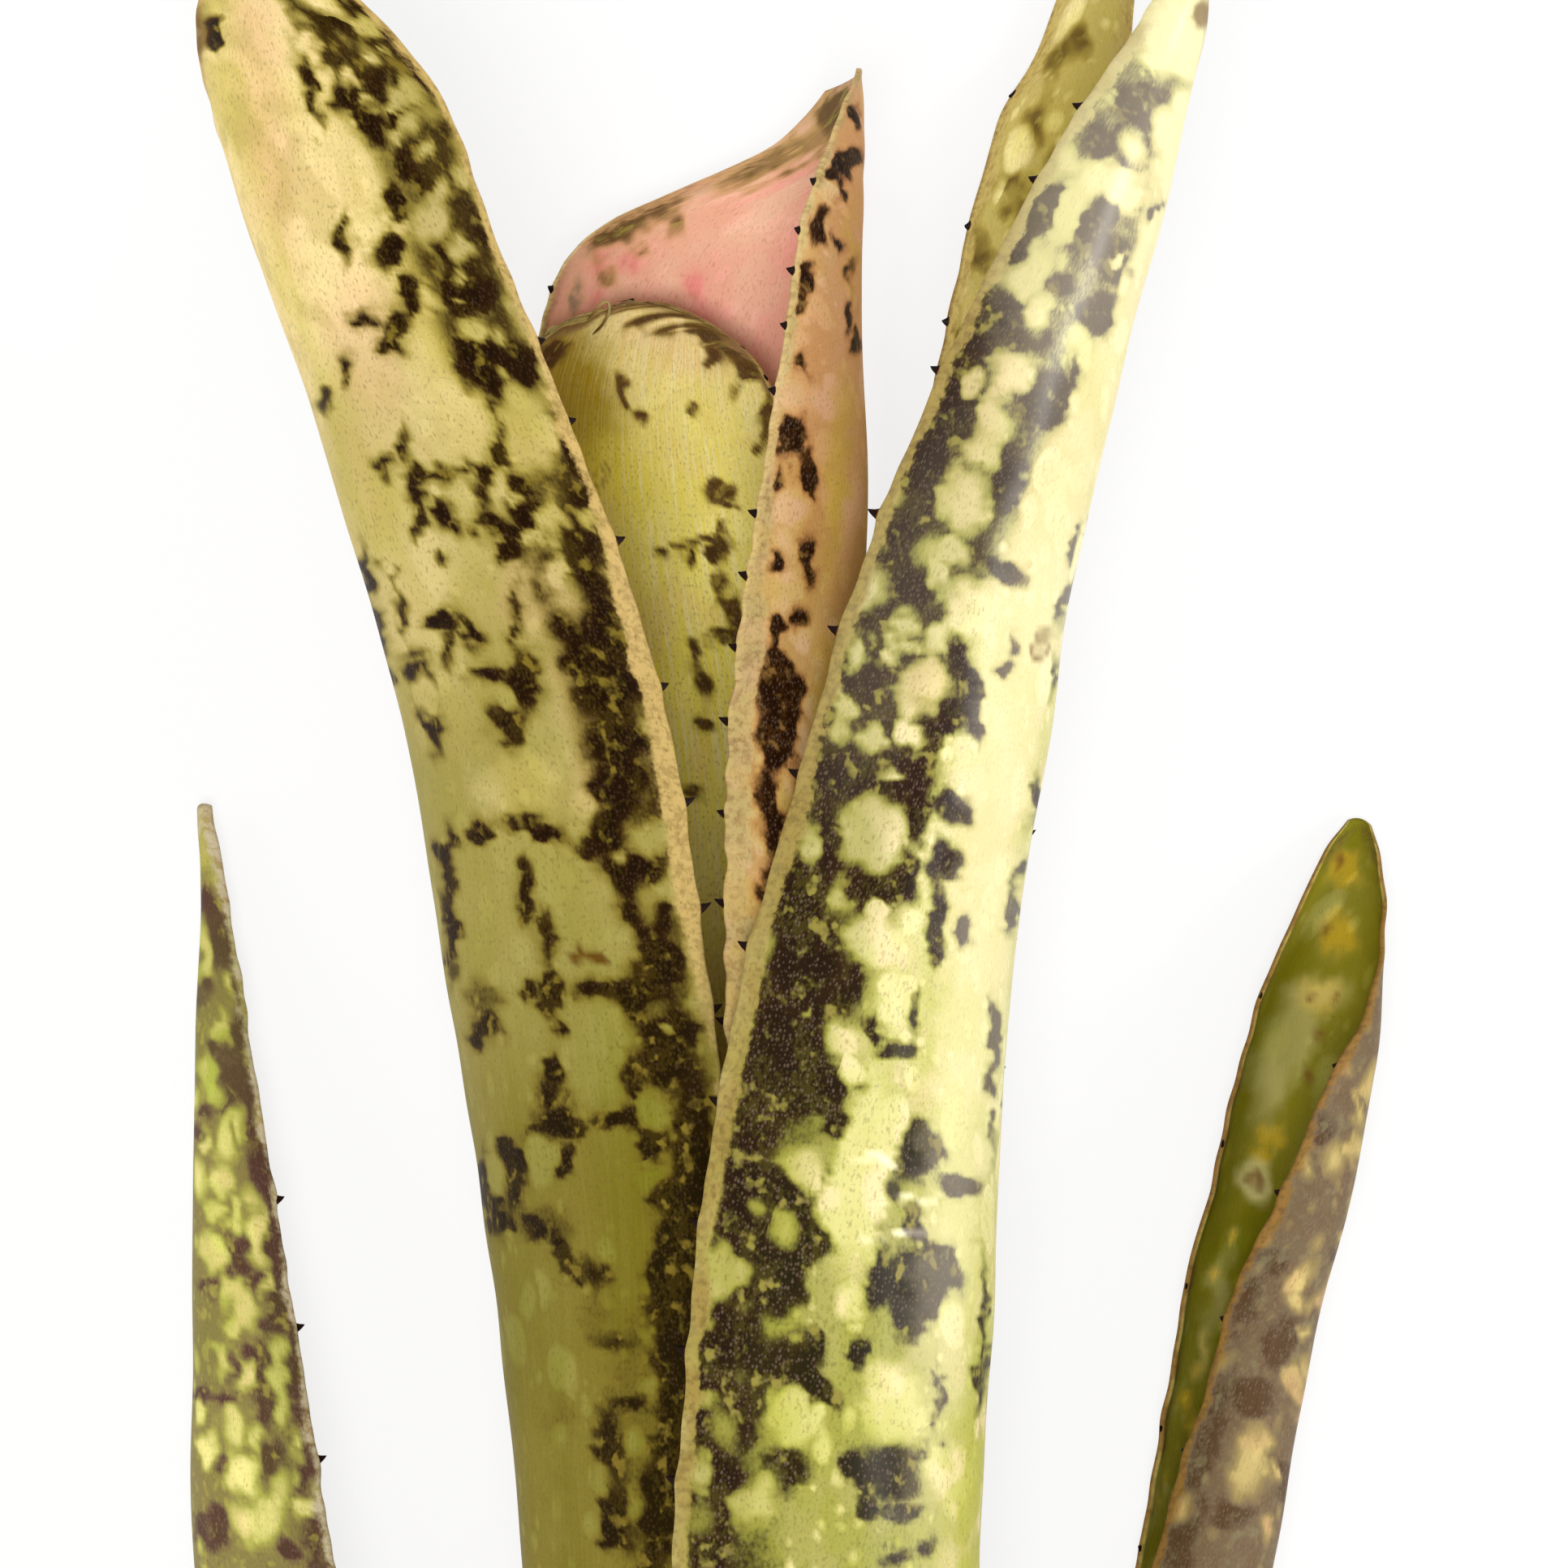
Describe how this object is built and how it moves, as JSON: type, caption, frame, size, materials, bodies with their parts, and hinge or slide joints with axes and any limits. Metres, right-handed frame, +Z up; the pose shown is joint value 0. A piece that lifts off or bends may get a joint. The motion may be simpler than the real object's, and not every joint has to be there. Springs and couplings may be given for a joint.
{
  "type": "billbergia rosette",
  "caption": "Cut tubular rosette of broad spotted strap leaves with toothed margins round a short stem, lying on its back.",
  "frame": {"origin": "bottom centre of the bounding box, on the surface that the rosette lies on", "axes": "+Y from the cut stem to the leaf tips, +X to the rosette's right, +Z up from the surface"},
  "size_m": [0.1499, 0.3665, 0.0598],
  "materials": {
    "stem_stub": "pale fibrous cut stem, matte",
    "outer_left_leaf": "purple-brown with lime and cream spots, satin leaf skin with a fine silvery scurf",
    "outer_right_leaf": "olive green inside, grey-brown outside with cream spots, satin leaf skin with a fine silvery scurf",
    "back_right_leaf": "yellow-green with dark olive mottles, satin leaf skin with a fine silvery scurf",
    "front_right_leaf": "cream and lime with dark purple-brown mottles, glossy streak",
    "front_left_leaf": "pale beige with dark purple-brown mottles and a dark band, satin leaf skin with a fine silvery scurf",
    "pink_back_leaf": "pink inside, cream and purple-brown mottled outside, satin leaf skin with a fine silvery scurf",
    "inner_leaf": "yellow-green with fine pale lines and a dark mottled rim, satin leaf skin with a fine silvery scurf",
    "heart_leaf": "plain yellow-green, satin leaf skin with a fine silvery scurf"
  },
  "bodies": {
    "root": {"stem_stub": "stem_stub", "outer_left_leaf": "outer_left_leaf", "outer_right_leaf": "outer_right_leaf", "back_right_leaf": "back_right_leaf", "front_right_leaf": "front_right_leaf", "front_left_leaf": "front_left_leaf", "pink_back_leaf": "pink_back_leaf", "inner_leaf": "inner_leaf", "heart_leaf": "heart_leaf"}
  },
  "joints": []
}
